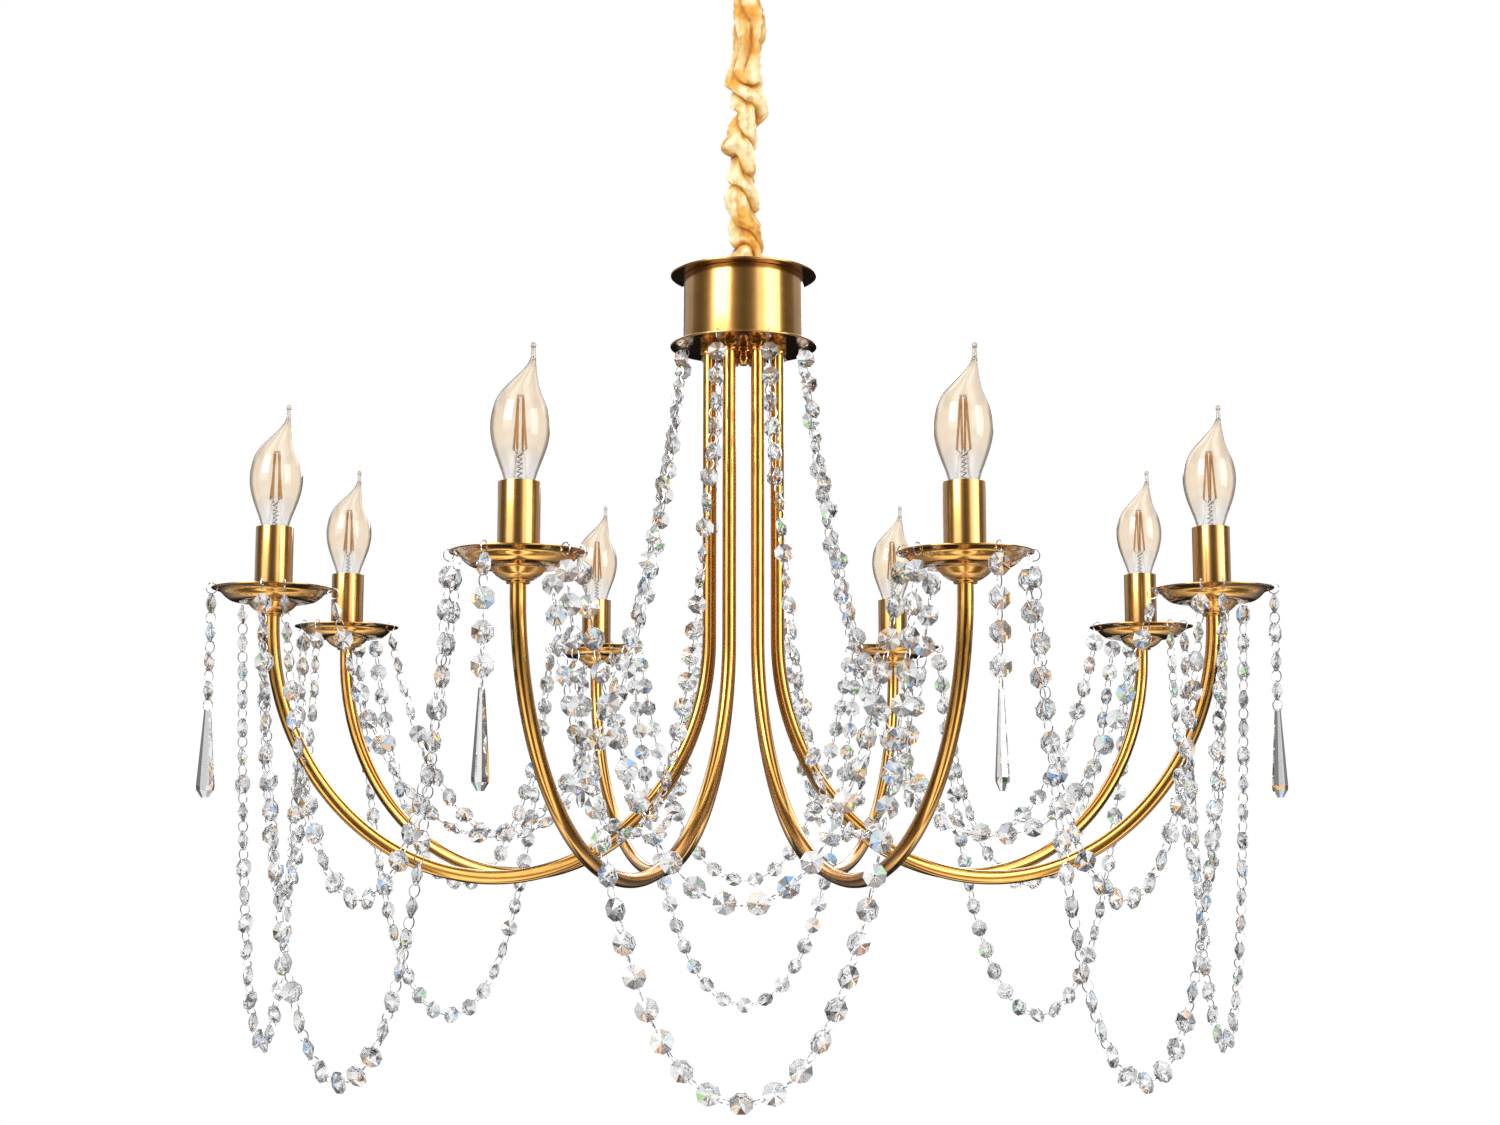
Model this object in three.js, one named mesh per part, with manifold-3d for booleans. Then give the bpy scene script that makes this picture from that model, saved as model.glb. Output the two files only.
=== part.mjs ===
// Eight-arm candle chandelier with crystal strands, on a chain under a ceiling canopy.
// Millimetres, +Z up. The origin is where the mounting bracket meets the ceiling.
import * as THREE from 'three'
import { mergeVertices } from 'three/addons/utils/BufferGeometryUtils.js'
import Module from 'manifold-3d'

const wasm = await Module()
wasm.setup()

// ---- driving dimensions ----
const GAP = 0.4
const SHEET = 0.9

const ARM_COUNT = 8
const FIRST_ARM_DEG = 22.5
const ARM_CIRCLE = 354
const ARM_ROOT_CIRCLE = 28
const ARM_RADIUS = 5
const ARM_BORE = 3.6
const ARM_BOTTOM = -730

const RIM_HEIGHT = -529.5
const PAN_RADIUS = 42
const PAN_DEPTH = 19.5
const HOLE_CIRCLE = 38.5
const HOLE_RADIUS = 2
const SWAG_HOLE_DEG = { upper: 90, lower: 70 }

const COVER_RADIUS = 13
const COVER_ABOVE_RIM = 43
const COVER_BELOW_RIM = 11

const BULB_RADIUS = 18.3
const BULB_LENGTH = 87
const BULB_CAP_RADIUS = 7
const BULB_CAP_LENGTH = 27
const TIP_BEND = 7.5
const TIP_BEND_FROM = 52
const TIP_BEND_TO = 79

const PLATE_RADIUS = 56.5
const PLATE_SHEET = 1.6
const TOP_PLATE = -269.5
const BOTTOM_PLATE = -325.5
const DRUM_RADIUS = 46.5
const STEM_RADIUS = 4.5
const FINIAL_RADIUS = 5.8
const FINIAL_LENGTH = 13.5

const LOOP_CENTRE = -38
const LOOP_RADIUS = 7
const LOOP_WIRE = 2
const EYE_CENTRE = -254
const EYE_RADIUS = 8
const EYE_WIRE = 2

const LINK_COUNT = 9
const LINK_RADIUS = 4.6
const LINK_WIRE = 1.2
const LINK_BITE = 0.4

const CANOPY_RADIUS = 55
const CANOPY_TOP = -1.2
const CANOPY_BOTTOM = -29
const BRACKET = { length: 90, width: 22, thickness: 2, hole: 2.6, holeAt: 35 }

const SLEEVE = { top: -41, bottom: -268.8, radius: 12.3, wall: 0.8 }
const CABLE = { radius: 2.2, offset: 8.6, top: -50, bottom: -300 }

const STRAND_RADIUS = 3.6
const HUB_RING = { radius: 50, height: -328.6, wire: 1 }
const STRAND_TOP = RIM_HEIGHT - 8
const HUB_STRAND_LOW = -700
const UPPER_SWAG_LOW = -741
const LOWER_SWAG_LOW = -853

const BEAD_RADIUS = 7.2
const BEAD_THICKNESS = 7
const BEAD_PITCH = 20
const PENDANT_BEADS = 4
const PENDANT_RING = { radius: 3.7, wire: 0.7, height: RIM_HEIGHT - 1.8 }
const PENDANT_WIRE = 0.8
const PRISM = { length: 60, top: 2.5, bottom: 6.6, point: 9 }

// ---- materials ----
const finishes = {
  brass: { color: 0xb87e2b, roughness: 0.35, metalness: 1 },
  steel: { color: 0xb9bcc0, roughness: 0.4, metalness: 1 },
  crystal: { color: 0xe8eef2, roughness: 0.05, metalness: 0 },
  amber: { color: 0xf0d6ac, roughness: 0.1, metalness: 0 },
  silk: { color: 0xe3bd80, roughness: 0.7, metalness: 0 },
  cable: { color: 0xd9c9a0, roughness: 0.6, metalness: 0 },
}

// ---- solids ----
function toManifold(geometry) {
  const bare = geometry.clone()
  bare.deleteAttribute('normal')
  bare.deleteAttribute('uv')
  const merged = mergeVertices(bare, 1e-4)
  return new wasm.Manifold(new wasm.Mesh({
    numProp: 3,
    vertProperties: new Float32Array(merged.attributes.position.array),
    triVerts: new Uint32Array(merged.index.array),
  }))
}

function toGeometry(solid) {
  const mesh = solid.getMesh()
  const geometry = new THREE.BufferGeometry()
  geometry.setAttribute('position', new THREE.BufferAttribute(mesh.vertProperties, 3))
  geometry.setIndex(new THREE.BufferAttribute(mesh.triVerts, 1))
  return geometry
}

function join(geometries) {
  const solids = geometries.map(toManifold)
  return toGeometry(solids.reduce((whole, next) => whole.add(next)))
}

function cut(geometry, tools) {
  return toGeometry(tools.map(toManifold).reduce((left, tool) => left.subtract(tool), toManifold(geometry)))
}

// A solid of revolution about Z. The profile runs anticlockwise in (radius, height).
function turned(profile, segments) {
  const points = profile.map(([radius, height]) => new THREE.Vector2(radius, height))
  points.push(points[0].clone())
  return new THREE.LatheGeometry(points, segments).rotateX(Math.PI / 2)
}

function rod(radius, top, bottom, segments) {
  const height = top - bottom
  return new THREE.CylinderGeometry(radius, radius, height, segments)
    .rotateX(Math.PI / 2)
    .translate(0, 0, (top + bottom) / 2)
}

function polygon(radius, sides) {
  const shape = new THREE.Shape()
  for (let i = 0; i < sides; i++) {
    const angle = 2 * Math.PI * i / sides
    const x = radius * Math.cos(angle)
    const y = radius * Math.sin(angle)
    if (i === 0) shape.moveTo(x, y)
    else shape.lineTo(x, y)
  }
  shape.closePath()
  return shape
}

function sweep(shape, curve, steps) {
  return new THREE.ExtrudeGeometry(shape, { steps, extrudePath: curve, curveSegments: 1 })
}

function roundHole(x, y, radius, segments) {
  const hole = new THREE.Path()
  for (let i = 0; i <= segments; i++) {
    const angle = -2 * Math.PI * i / segments
    const px = x + radius * Math.cos(angle)
    const py = y + radius * Math.sin(angle)
    if (i === 0) hole.moveTo(px, py)
    else hole.lineTo(px, py)
  }
  return hole
}

const radians = THREE.MathUtils.degToRad
const armAngle = (i) => radians(FIRST_ARM_DEG + i * 360 / ARM_COUNT)

// ---- curves ----
// A chain between two points whose lowest point is at the given height.
class HangingCurve extends THREE.Curve {
  constructor(start, end, lowest) {
    super()
    this.start = start
    this.span = Math.hypot(end.x - start.x, end.y - start.y)
    this.across = new THREE.Vector2(end.x - start.x, end.y - start.y).divideScalar(this.span)
    this.lowest = lowest
    const startRise = start.z - lowest
    const endRise = end.z - lowest
    const spanFor = (a) => a * (Math.acosh(1 + startRise / a) + Math.acosh(1 + endRise / a))
    let low = 0.1
    let high = 1e5
    for (let i = 0; i < 80; i++) {
      const middle = Math.sqrt(low * high)
      if (spanFor(middle) < this.span) low = middle
      else high = middle
    }
    this.a = low
    this.left = low * Math.acosh(1 + startRise / low)
    this.arcStart = -low * Math.sinh(this.left / low)
    this.arcEnd = low * Math.sinh((this.span - this.left) / low)
  }

  getPoint(t, target = new THREE.Vector3()) {
    const arc = THREE.MathUtils.lerp(this.arcStart, this.arcEnd, t)
    const along = this.a * Math.asinh(arc / this.a)
    const reach = along + this.left
    const z = this.lowest + this.a * (Math.cosh(along / this.a) - 1)
    return target.set(this.start.x + this.across.x * reach, this.start.y + this.across.y * reach, z)
  }
}

// Straight down from the hub, round half an ellipse, and up into the drip pan.
class ArmCurve extends THREE.Curve {
  getPoint(t, target = new THREE.Vector3()) {
    const top = BOTTOM_PLATE + 9
    const turn = RIM_HEIGHT - PAN_DEPTH - 3
    const end = RIM_HEIGHT - PAN_DEPTH + 6
    const halfWidth = (ARM_CIRCLE - ARM_ROOT_CIRCLE) / 2
    const depth = turn - ARM_BOTTOM
    const straight = top - turn
    const bend = Math.PI * Math.sqrt((halfWidth ** 2 + depth ** 2) / 2)
    const distance = t * (straight + bend + end - turn)
    if (distance < straight) return target.set(ARM_ROOT_CIRCLE, 0, top - distance)
    if (distance > straight + bend) return target.set(ARM_CIRCLE, 0, turn + distance - straight - bend)
    const angle = Math.PI * (distance - straight) / bend
    const centre = ARM_ROOT_CIRCLE + halfWidth
    return target.set(centre - halfWidth * Math.cos(angle), 0, turn - depth * Math.sin(angle))
  }
}

// An oval chain link centred between its two round ends.
class LinkCurve extends THREE.Curve {
  constructor(radius, topCentre, bottomCentre) {
    super()
    this.radius = radius
    this.top = topCentre
    this.bottom = bottomCentre
  }

  getPoint(t, target = new THREE.Vector3()) {
    const side = this.top - this.bottom
    const end = Math.PI * this.radius
    let distance = (t % 1) * 2 * (side + end)
    const sign = distance < side + end ? 1 : -1
    if (sign < 0) distance -= side + end
    const middle = (this.top + this.bottom) / 2
    if (distance < side) return target.set(sign * this.radius, 0, middle + sign * (distance - side / 2))
    const angle = (distance - side) / this.radius
    const x = sign * this.radius * Math.cos(angle)
    const z = middle + sign * (side / 2 + this.radius * Math.sin(angle))
    return target.set(x, 0, z)
  }
}

// A closed ring swept round LinkCurve. It lies in the XZ plane.
function oval(radius, topCentre, bottomCentre, wire, steps, sides) {
  const curve = new LinkCurve(radius, topCentre, bottomCentre)
  const positions = []
  const index = []
  const point = new THREE.Vector3()
  const ahead = new THREE.Vector3()
  const behind = new THREE.Vector3()
  for (let i = 0; i < steps; i++) {
    curve.getPoint(i / steps, point)
    curve.getPoint((i + 0.5) / steps, ahead)
    curve.getPoint((i + steps - 0.5) / steps, behind)
    const tangent = ahead.sub(behind).normalize()
    const outward = new THREE.Vector3(tangent.z, 0, -tangent.x)
    for (let j = 0; j < sides; j++) {
      const angle = 2 * Math.PI * j / sides
      const out = wire * Math.cos(angle)
      positions.push(point.x + out * outward.x, wire * Math.sin(angle), point.z + out * outward.z)
    }
  }
  for (let i = 0; i < steps; i++) {
    const next = (i + 1) % steps
    for (let j = 0; j < sides; j++) {
      const beside = (j + 1) % sides
      const corners = [i * sides + j, next * sides + j, next * sides + beside, i * sides + beside]
      index.push(corners[0], corners[2], corners[1], corners[0], corners[3], corners[2])
    }
  }
  const geometry = new THREE.BufferGeometry()
  geometry.setAttribute('position', new THREE.Float32BufferAttribute(positions, 3))
  geometry.setIndex(index)
  return geometry
}

const ring = (radius, height, wire, steps, sides) => oval(radius, height, height, wire, steps, sides)

// ---- ceiling fitting ----
function mountingBracket() {
  const { length, width, thickness, hole, holeAt } = BRACKET
  const shape = new THREE.Shape([
    new THREE.Vector2(-length / 2, -width / 2),
    new THREE.Vector2(length / 2, -width / 2),
    new THREE.Vector2(length / 2, width / 2),
    new THREE.Vector2(-length / 2, width / 2),
  ])
  shape.holes.push(roundHole(-holeAt, 0, hole, 12), roundHole(holeAt, 0, hole, 12))
  return new THREE.ExtrudeGeometry(shape, { depth: thickness, bevelEnabled: false })
    .translate(0, 0, -thickness)
}

function ceilingCanopy() {
  const boreRadius = 5
  const shoulder = 50
  const slope = CANOPY_BOTTOM + 5
  return turned([
    [boreRadius, CANOPY_BOTTOM],
    [22, CANOPY_BOTTOM],
    [40, slope],
    [shoulder, CANOPY_BOTTOM + 13],
    [CANOPY_RADIUS, CANOPY_TOP],
    [CANOPY_RADIUS - SHEET, CANOPY_TOP],
    [shoulder - SHEET, CANOPY_BOTTOM + 13.5],
    [39.4, slope + SHEET],
    [21.8, CANOPY_BOTTOM + SHEET],
    [boreRadius, CANOPY_BOTTOM + SHEET],
  ], 24)
}

function canopyLoop() {
  const stem = rod(4, -7, LOOP_CENTRE + LOOP_RADIUS, 12)
  return join([stem, ring(LOOP_RADIUS, LOOP_CENTRE, LOOP_WIRE, 14, 6)])
}

// ---- chain, sleeve and cable ----
function suspensionChain() {
  const first = LOOP_CENTRE - LOOP_RADIUS
  const last = EYE_CENTRE + EYE_RADIUS
  const step = 2 * LINK_RADIUS - 2 * LINK_WIRE + LINK_BITE
  const side = (first - last - (LINK_COUNT - 1) * step) / LINK_COUNT
  const links = []
  for (let i = 0; i < LINK_COUNT; i++) {
    const top = first - i * (side + step)
    const link = oval(LINK_RADIUS, top, top - side, LINK_WIRE, 12, 4)
    links.push(i % 2 === 0 ? link.rotateZ(Math.PI / 2) : link)
  }
  return join(links)
}

function fabricSleeve() {
  const { top, bottom, radius, wall } = SLEEVE
  return turned([[radius - wall, bottom], [radius, bottom], [radius, top], [radius - wall, top]], 16)
}

function supplyCable() {
  return rod(CABLE.radius, CABLE.top, CABLE.bottom, 8).translate(0, CABLE.offset, 0)
}

// ---- hub ----
function plate(topHeight, holes) {
  const shape = polygon(PLATE_RADIUS, 32)
  shape.holes.push(roundHole(0, 0, STEM_RADIUS + GAP, 12), ...holes)
  return new THREE.ExtrudeGeometry(shape, { depth: PLATE_SHEET, bevelEnabled: false })
    .translate(0, 0, topHeight - PLATE_SHEET)
}

function topPlate() {
  return plate(TOP_PLATE, [roundHole(0, CABLE.offset, CABLE.radius + GAP, 10)])
}

function bottomPlate() {
  const holes = []
  for (let i = 0; i < ARM_COUNT; i++) {
    const angle = armAngle(i)
    const x = ARM_ROOT_CIRCLE * Math.cos(angle)
    const y = ARM_ROOT_CIRCLE * Math.sin(angle)
    holes.push(roundHole(x, y, ARM_RADIUS + 2 * GAP, 8))
  }
  return plate(BOTTOM_PLATE, holes)
}

function drumShell() {
  const top = TOP_PLATE - PLATE_SHEET - GAP
  const bottom = BOTTOM_PLATE + GAP
  const inner = DRUM_RADIUS - 1.2
  return turned([[inner, bottom], [DRUM_RADIUS, bottom], [DRUM_RADIUS, top], [inner, top]], 32)
}

function centreStem() {
  const bottom = BOTTOM_PLATE - PLATE_SHEET - FINIAL_LENGTH + 5
  const stem = rod(STEM_RADIUS, EYE_CENTRE - EYE_RADIUS, bottom, 12)
  return join([stem, ring(EYE_RADIUS, EYE_CENTRE, EYE_WIRE, 14, 6)])
}

function finial() {
  const top = BOTTOM_PLATE - PLATE_SHEET - GAP
  const bottom = top - FINIAL_LENGTH
  const bore = STEM_RADIUS + GAP
  const boreEnd = bottom + 4
  return turned([
    [0, bottom],
    [3.2, bottom + 1],
    [FINIAL_RADIUS, bottom + 5],
    [FINIAL_RADIUS, top - 3],
    [7.5, top - 2.5],
    [7.5, top],
    [bore, top],
    [bore, boreEnd],
    [0, boreEnd],
  ], 12)
}

// ---- arms and lights, each made in its own arm's frame with +X outward ----
function arm() {
  const section = polygon(ARM_RADIUS, 8)
  section.holes.push(roundHole(0, 0, ARM_BORE, 3))
  return sweep(section, new ArmCurve(), 17)
}

function dripPan() {
  const bore = ARM_RADIUS + 2 * GAP
  const bowl = turned([
    [bore, -PAN_DEPTH],
    [9, -17],
    [17.5, -10.4],
    [28, -9.4],
    [36, -3.3],
    [PAN_RADIUS, -SHEET],
    [PAN_RADIUS, 0],
    [35.6, -3.3 + SHEET],
    [27.8, -9.4 + SHEET],
    [17, -10.4 + SHEET],
    [8.6, -17 + SHEET],
    [bore, -17 + SHEET],
  ], 12)
  const punch = rod(HOLE_RADIUS, 2, -6, 6).translate(HOLE_CIRCLE, 0, 0)
  return cut(bowl, [punch])
}

function candleCover() {
  const inner = COVER_RADIUS - SHEET
  return turned([
    [inner, -COVER_BELOW_RIM],
    [COVER_RADIUS, -COVER_BELOW_RIM],
    [COVER_RADIUS, COVER_ABOVE_RIM],
    [inner, COVER_ABOVE_RIM],
  ], 12)
}

// The glass narrows to a thin tip that curls to one side, like a flame.
function bulb() {
  const geometry = turned([
    [0, -BULB_CAP_LENGTH],
    [BULB_CAP_RADIUS, -BULB_CAP_LENGTH + 3],
    [BULB_CAP_RADIUS, -3],
    [10, 2],
    [15.2, 16],
    [BULB_RADIUS, 33],
    [15.8, 48.5],
    [9.1, 61.5],
    [2.4, 74],
    [1.5, BULB_LENGTH],
    [0, BULB_LENGTH],
  ], 8)
  const position = geometry.attributes.position
  for (let i = 0; i < position.count; i++) {
    const rise = THREE.MathUtils.smoothstep(position.getZ(i), TIP_BEND_FROM, TIP_BEND_TO)
    position.setX(i, position.getX(i) + TIP_BEND * rise)
  }
  return geometry
}

// A cut bead: two blunt eight-sided cones back to back, facing along X.
function bead(height) {
  const half = BEAD_THICKNESS / 2
  const profile = [[0, -half], [BEAD_RADIUS, -0.6], [BEAD_RADIUS, 0.6], [0, half]]
  const geometry = new THREE.LatheGeometry(profile.map(([x, y]) => new THREE.Vector2(x, y)), 8)
  return geometry.rotateY(Math.PI / 8).rotateZ(-Math.PI / 2).translate(0, 0, height)
}

function prism(top) {
  const point = top - PRISM.length
  return turned([
    [0, point],
    [PRISM.bottom, point + PRISM.point],
    [PRISM.top, top],
    [0, top],
  ], 6)
}

// Ring, four beads and a long prism. The origin is at the ring's centre.
function pendant() {
  const pieces = [ring(PENDANT_RING.radius, 0, PENDANT_RING.wire, 10, 4)]
  const firstBead = -PENDANT_RING.radius - BEAD_RADIUS
  for (let i = 0; i < PENDANT_BEADS; i++) pieces.push(bead(firstBead - i * BEAD_PITCH))
  const prismTop = firstBead - PENDANT_BEADS * BEAD_PITCH + BEAD_RADIUS
  pieces.push(prism(prismTop))
  pieces.push(rod(PENDANT_WIRE, -PENDANT_RING.radius, prismTop - 2, 4))
  return join(pieces)
}

// ---- crystal strands ----
function panPoint(i, fromOutward, height) {
  const angle = armAngle(i)
  const reach = PAN_RADIUS + 1
  const x = ARM_CIRCLE * Math.cos(angle) + reach * Math.cos(angle + radians(fromOutward))
  const y = ARM_CIRCLE * Math.sin(angle) + reach * Math.sin(angle + radians(fromOutward))
  return new THREE.Vector3(x, y, height)
}

function strand(start, end, lowest, steps) {
  return sweep(polygon(STRAND_RADIUS, 4), new HangingCurve(start, end, lowest), steps)
}

function bar(start, end) {
  return sweep(polygon(1, 4), new THREE.LineCurve3(start, end), 1)
}

// Two swags between neighbouring pans, linked by a short wire at each end.
function swags(i) {
  const { upper, lower } = SWAG_HOLE_DEG
  const inset = STRAND_TOP - 2
  const ends = [upper, lower].map((hole) => [
    panPoint(i, hole, STRAND_TOP),
    panPoint(i + 1, -hole, STRAND_TOP),
  ])
  const links = [0, 1].map((side) => bar(
    ends[0][side].clone().setZ(inset),
    ends[1][side].clone().setZ(inset),
  ))
  return join([
    strand(...ends[0], UPPER_SWAG_LOW, 13),
    strand(...ends[1], LOWER_SWAG_LOW, 17),
    ...links,
  ])
}

// Eight strands from a wire ring under the hub, one to the inner edge of each pan.
function hubStrands() {
  const { radius, height, wire } = HUB_RING
  const pieces = [new THREE.TorusGeometry(radius, wire, 4, 24).translate(0, 0, height)]
  for (let i = 0; i < ARM_COUNT; i++) {
    const angle = armAngle(i)
    const start = new THREE.Vector3(radius * Math.cos(angle), radius * Math.sin(angle), height)
    pieces.push(strand(start, panPoint(i, 180, STRAND_TOP), HUB_STRAND_LOW, 14))
  }
  return join(pieces)
}

// ---- assembly ----
const group = new THREE.Group()

function add(name, geometry, finish, parent = group) {
  const mesh = new THREE.Mesh(geometry, new THREE.MeshStandardMaterial(finishes[finish]))
  mesh.name = name
  parent.add(mesh)
  return mesh
}

add('mounting_bracket', mountingBracket(), 'steel')
add('ceiling_canopy', ceilingCanopy(), 'brass')
add('canopy_loop', canopyLoop(), 'brass')
add('suspension_chain', suspensionChain(), 'brass')
add('supply_cable', supplyCable(), 'cable')
add('fabric_sleeve', fabricSleeve(), 'silk')
add('top_plate', topPlate(), 'brass')
add('drum_shell', drumShell(), 'brass')
add('bottom_plate', bottomPlate(), 'brass')
add('centre_stem', centreStem(), 'steel')
add('finial', finial(), 'brass')
add('hub_strands', hubStrands(), 'crystal')

for (let i = 0; i < ARM_COUNT; i++) {
  const side = new THREE.Group()
  side.rotation.z = armAngle(i)
  group.add(side)
  add(`arm_${i + 1}`, arm(), 'brass', side)
  add(`drip_pan_${i + 1}`, dripPan(), 'brass', side).position.set(ARM_CIRCLE, 0, RIM_HEIGHT)
  add(`candle_cover_${i + 1}`, candleCover(), 'brass', side).position.set(ARM_CIRCLE, 0, RIM_HEIGHT)
  const lamp = add(`bulb_${i + 1}`, bulb(), 'amber', side)
  lamp.position.set(ARM_CIRCLE, 0, RIM_HEIGHT + COVER_ABOVE_RIM)
  lamp.rotation.z = -armAngle(i)
  const hung = add(`pendant_${i + 1}`, pendant(), 'crystal', side)
  hung.position.set(ARM_CIRCLE + PAN_RADIUS, 0, PENDANT_RING.height)
  add(`swags_${i + 1}`, swags(i), 'crystal')
}

export default group
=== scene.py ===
"""Crystal candle chandelier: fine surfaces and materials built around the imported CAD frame.

Lengths are in metres unless a comment says millimetres, and z is 0 at the ceiling.
"""
import math
import random

import bpy
from mathutils import Matrix, Vector, noise


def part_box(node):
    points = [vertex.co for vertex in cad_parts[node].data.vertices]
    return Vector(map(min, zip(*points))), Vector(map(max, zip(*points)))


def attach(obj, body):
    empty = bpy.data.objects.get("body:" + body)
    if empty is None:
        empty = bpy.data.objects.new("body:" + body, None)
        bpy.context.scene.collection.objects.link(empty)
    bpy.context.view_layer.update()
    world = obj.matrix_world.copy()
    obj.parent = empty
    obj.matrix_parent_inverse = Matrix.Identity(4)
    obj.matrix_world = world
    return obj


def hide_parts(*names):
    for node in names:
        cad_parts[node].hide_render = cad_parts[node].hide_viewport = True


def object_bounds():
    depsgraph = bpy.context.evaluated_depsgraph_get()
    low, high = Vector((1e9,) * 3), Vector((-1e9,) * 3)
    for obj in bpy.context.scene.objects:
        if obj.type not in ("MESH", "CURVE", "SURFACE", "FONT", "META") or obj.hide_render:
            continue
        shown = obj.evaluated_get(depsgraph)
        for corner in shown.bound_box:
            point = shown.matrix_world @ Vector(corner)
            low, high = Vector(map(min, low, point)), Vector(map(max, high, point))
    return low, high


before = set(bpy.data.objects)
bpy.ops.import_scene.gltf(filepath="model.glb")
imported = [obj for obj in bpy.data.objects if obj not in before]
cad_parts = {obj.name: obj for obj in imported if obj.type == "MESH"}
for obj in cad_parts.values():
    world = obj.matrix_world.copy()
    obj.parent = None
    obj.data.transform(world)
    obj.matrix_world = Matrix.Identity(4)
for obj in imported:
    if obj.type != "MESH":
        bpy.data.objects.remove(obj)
cad_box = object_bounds()

MM = 0.001
ARM_COUNT = 8

# ---- places read from the frame ----
cover_low, cover_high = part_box("candle_cover_1")
pan_low, pan_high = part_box("drip_pan_1")
cover_centre = (cover_low + cover_high) / 2
ARM_CIRCLE = math.hypot(cover_centre.x, cover_centre.y)
FIRST_ARM = math.atan2(cover_centre.y, cover_centre.x)
RIM = pan_high.z
PAN_BOTTOM = pan_low.z
COVER_TOP = cover_high.z
COVER_BOTTOM = cover_low.z
TOP_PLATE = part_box("top_plate")[1].z
TOP_PLATE_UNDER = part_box("top_plate")[0].z
BOTTOM_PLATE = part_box("bottom_plate")[1].z
BOTTOM_PLATE_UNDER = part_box("bottom_plate")[0].z
PLATE_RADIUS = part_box("bottom_plate")[1].x
DRUM_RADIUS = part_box("drum_shell")[1].x
SLEEVE_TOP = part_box("fabric_sleeve")[1].z
SLEEVE_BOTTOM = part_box("fabric_sleeve")[0].z

# ---- sizes of the metal parts ----
ARM_RADIUS = 5 * MM
ARM_ROOT_CIRCLE = 28 * MM
ARM_BEND_FROM = -0.44
ARM_BOTTOM = -730 * MM
ARM_STEPS = 96
PAN_RADIUS = 42 * MM
SHEET = 0.9 * MM
HOLE_CIRCLE = 38.5 * MM
HOLE_RADIUS = 1.3 * MM
HOLE_DEGREES = (0, 70, 90, 180, 270, 290)
COVER_RADIUS = 13 * MM
CABLE_HOLE = 5 * MM
HUB_SEGMENTS = 128

# ---- sizes of the bulbs ----
TIP_BEND = 7.5 * MM
TIP_BEND_FROM = 52 * MM
TIP_BEND_TO = 79 * MM
GLASS_SEGMENTS = 56
# Millimetres above the cover's top.
GLASS_WALL = 0.6
HOLLOW_TO = 76
HOLLOW_TIP = 78.5

# ---- sizes of the crystal strings ----
RING_RADIUS = 3.7 * MM
RING_WIRE = 0.4 * MM
RING_DROP = 1.8 * MM
LINK_RADIUS = 3.1 * MM
LINK_STRETCH = 1.35
SIDES = 8
BEAD_RADIUS = 7.2 * MM
BEAD_HALF = 3.6 * MM
BEAD_PITCH = 20 * MM
TABLE_SHARE = 0.1
GIRDLE_SHARE = 0.2
PENDANT_BEADS = 4
PRISM_DEPTH_SHARE = 0.62
LARGE_FACET = 3e-5
HUB_HOLE_CIRCLE = 50 * MM
UPPER_HOLE = math.radians(90)
LOWER_HOLE = math.radians(70)
UPPER_SWAG_LOW = -741 * MM
LOWER_SWAG_LOW = -853 * MM
HUB_STRAND_LOW = -700 * MM

# How far a bead may twist on its string, in degrees either way.
SWAG_TWIST = 38
STRAND_TWIST = 85
PENDANT_TWIST = 30
PRISM_TURN = (40, 80)

# ---- seeds ----
STRAND_SEED = 7
SWAG_SEED = 100
SWAG_FACETS = 200
STRAND_FACETS = 300
PENDANT_SEED = 400
PENDANT_FACETS = 500

# ---- camera and floor ----
CAMERA_DISTANCE = 1.6
CAMERA_HEIGHT = -0.7
CAMERA_SIDE = 0.005
CAMERA_PITCH = math.radians(7.34)
CAMERA_LENS = 50.8
FLOOR_DROP = 1.6
FLOOR_RADIUS = 6.0
LIGHT_TARGET = Vector((0, 0, -0.55))

# Faces that meet at this angle or more, in degrees, keep a sharp edge.
SHARP_FROM = 40


# ---- mesh helpers ----
def mesh_object(name, part, material, sharp=SHARP_FROM):
    verts, faces = part
    mesh = bpy.data.meshes.new(name)
    mesh.from_pydata([tuple(v) for v in verts], [], faces)
    mesh.update()
    if sharp:
        mesh.shade_smooth()
        mesh.set_sharp_from_angle(angle=math.radians(sharp))
    mesh.materials.append(material)
    piece = bpy.data.objects.new(name, mesh)
    bpy.context.collection.objects.link(piece)
    return piece


def place(piece, body, slot, *nodes):
    """Ties a piece to its body, and hides the CAD nodes that it stands in for. The slot is not
    used.
    """
    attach(piece, body)
    if nodes:
        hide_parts(*nodes)


def brass_piece(name, part, material, *nodes):
    """A brass piece of the hanging fixture."""
    place(mesh_object(name, part, material), "fixture", "antique_brass", *nodes)


def in_mm(outline, base=0.0):
    """Metres from an outline in millimetres above base."""
    return [(radius * MM, base + height * MM) for radius, height in outline]


def polar(radius, angle, height):
    return Vector((radius * math.cos(angle), radius * math.sin(angle), height))


def ring_points(radius, height, segments):
    step = 2 * math.pi / segments
    return [polar(radius, i * step, height) for i in range(segments)]


def band(low, high, count):
    """Faces that join two rings of count vertices, from each ring's first vertex number."""
    faces = []
    for j in range(count):
        k = (j + 1) % count
        faces.append([low + j, low + k, high + k, high + j])
    return faces


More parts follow.
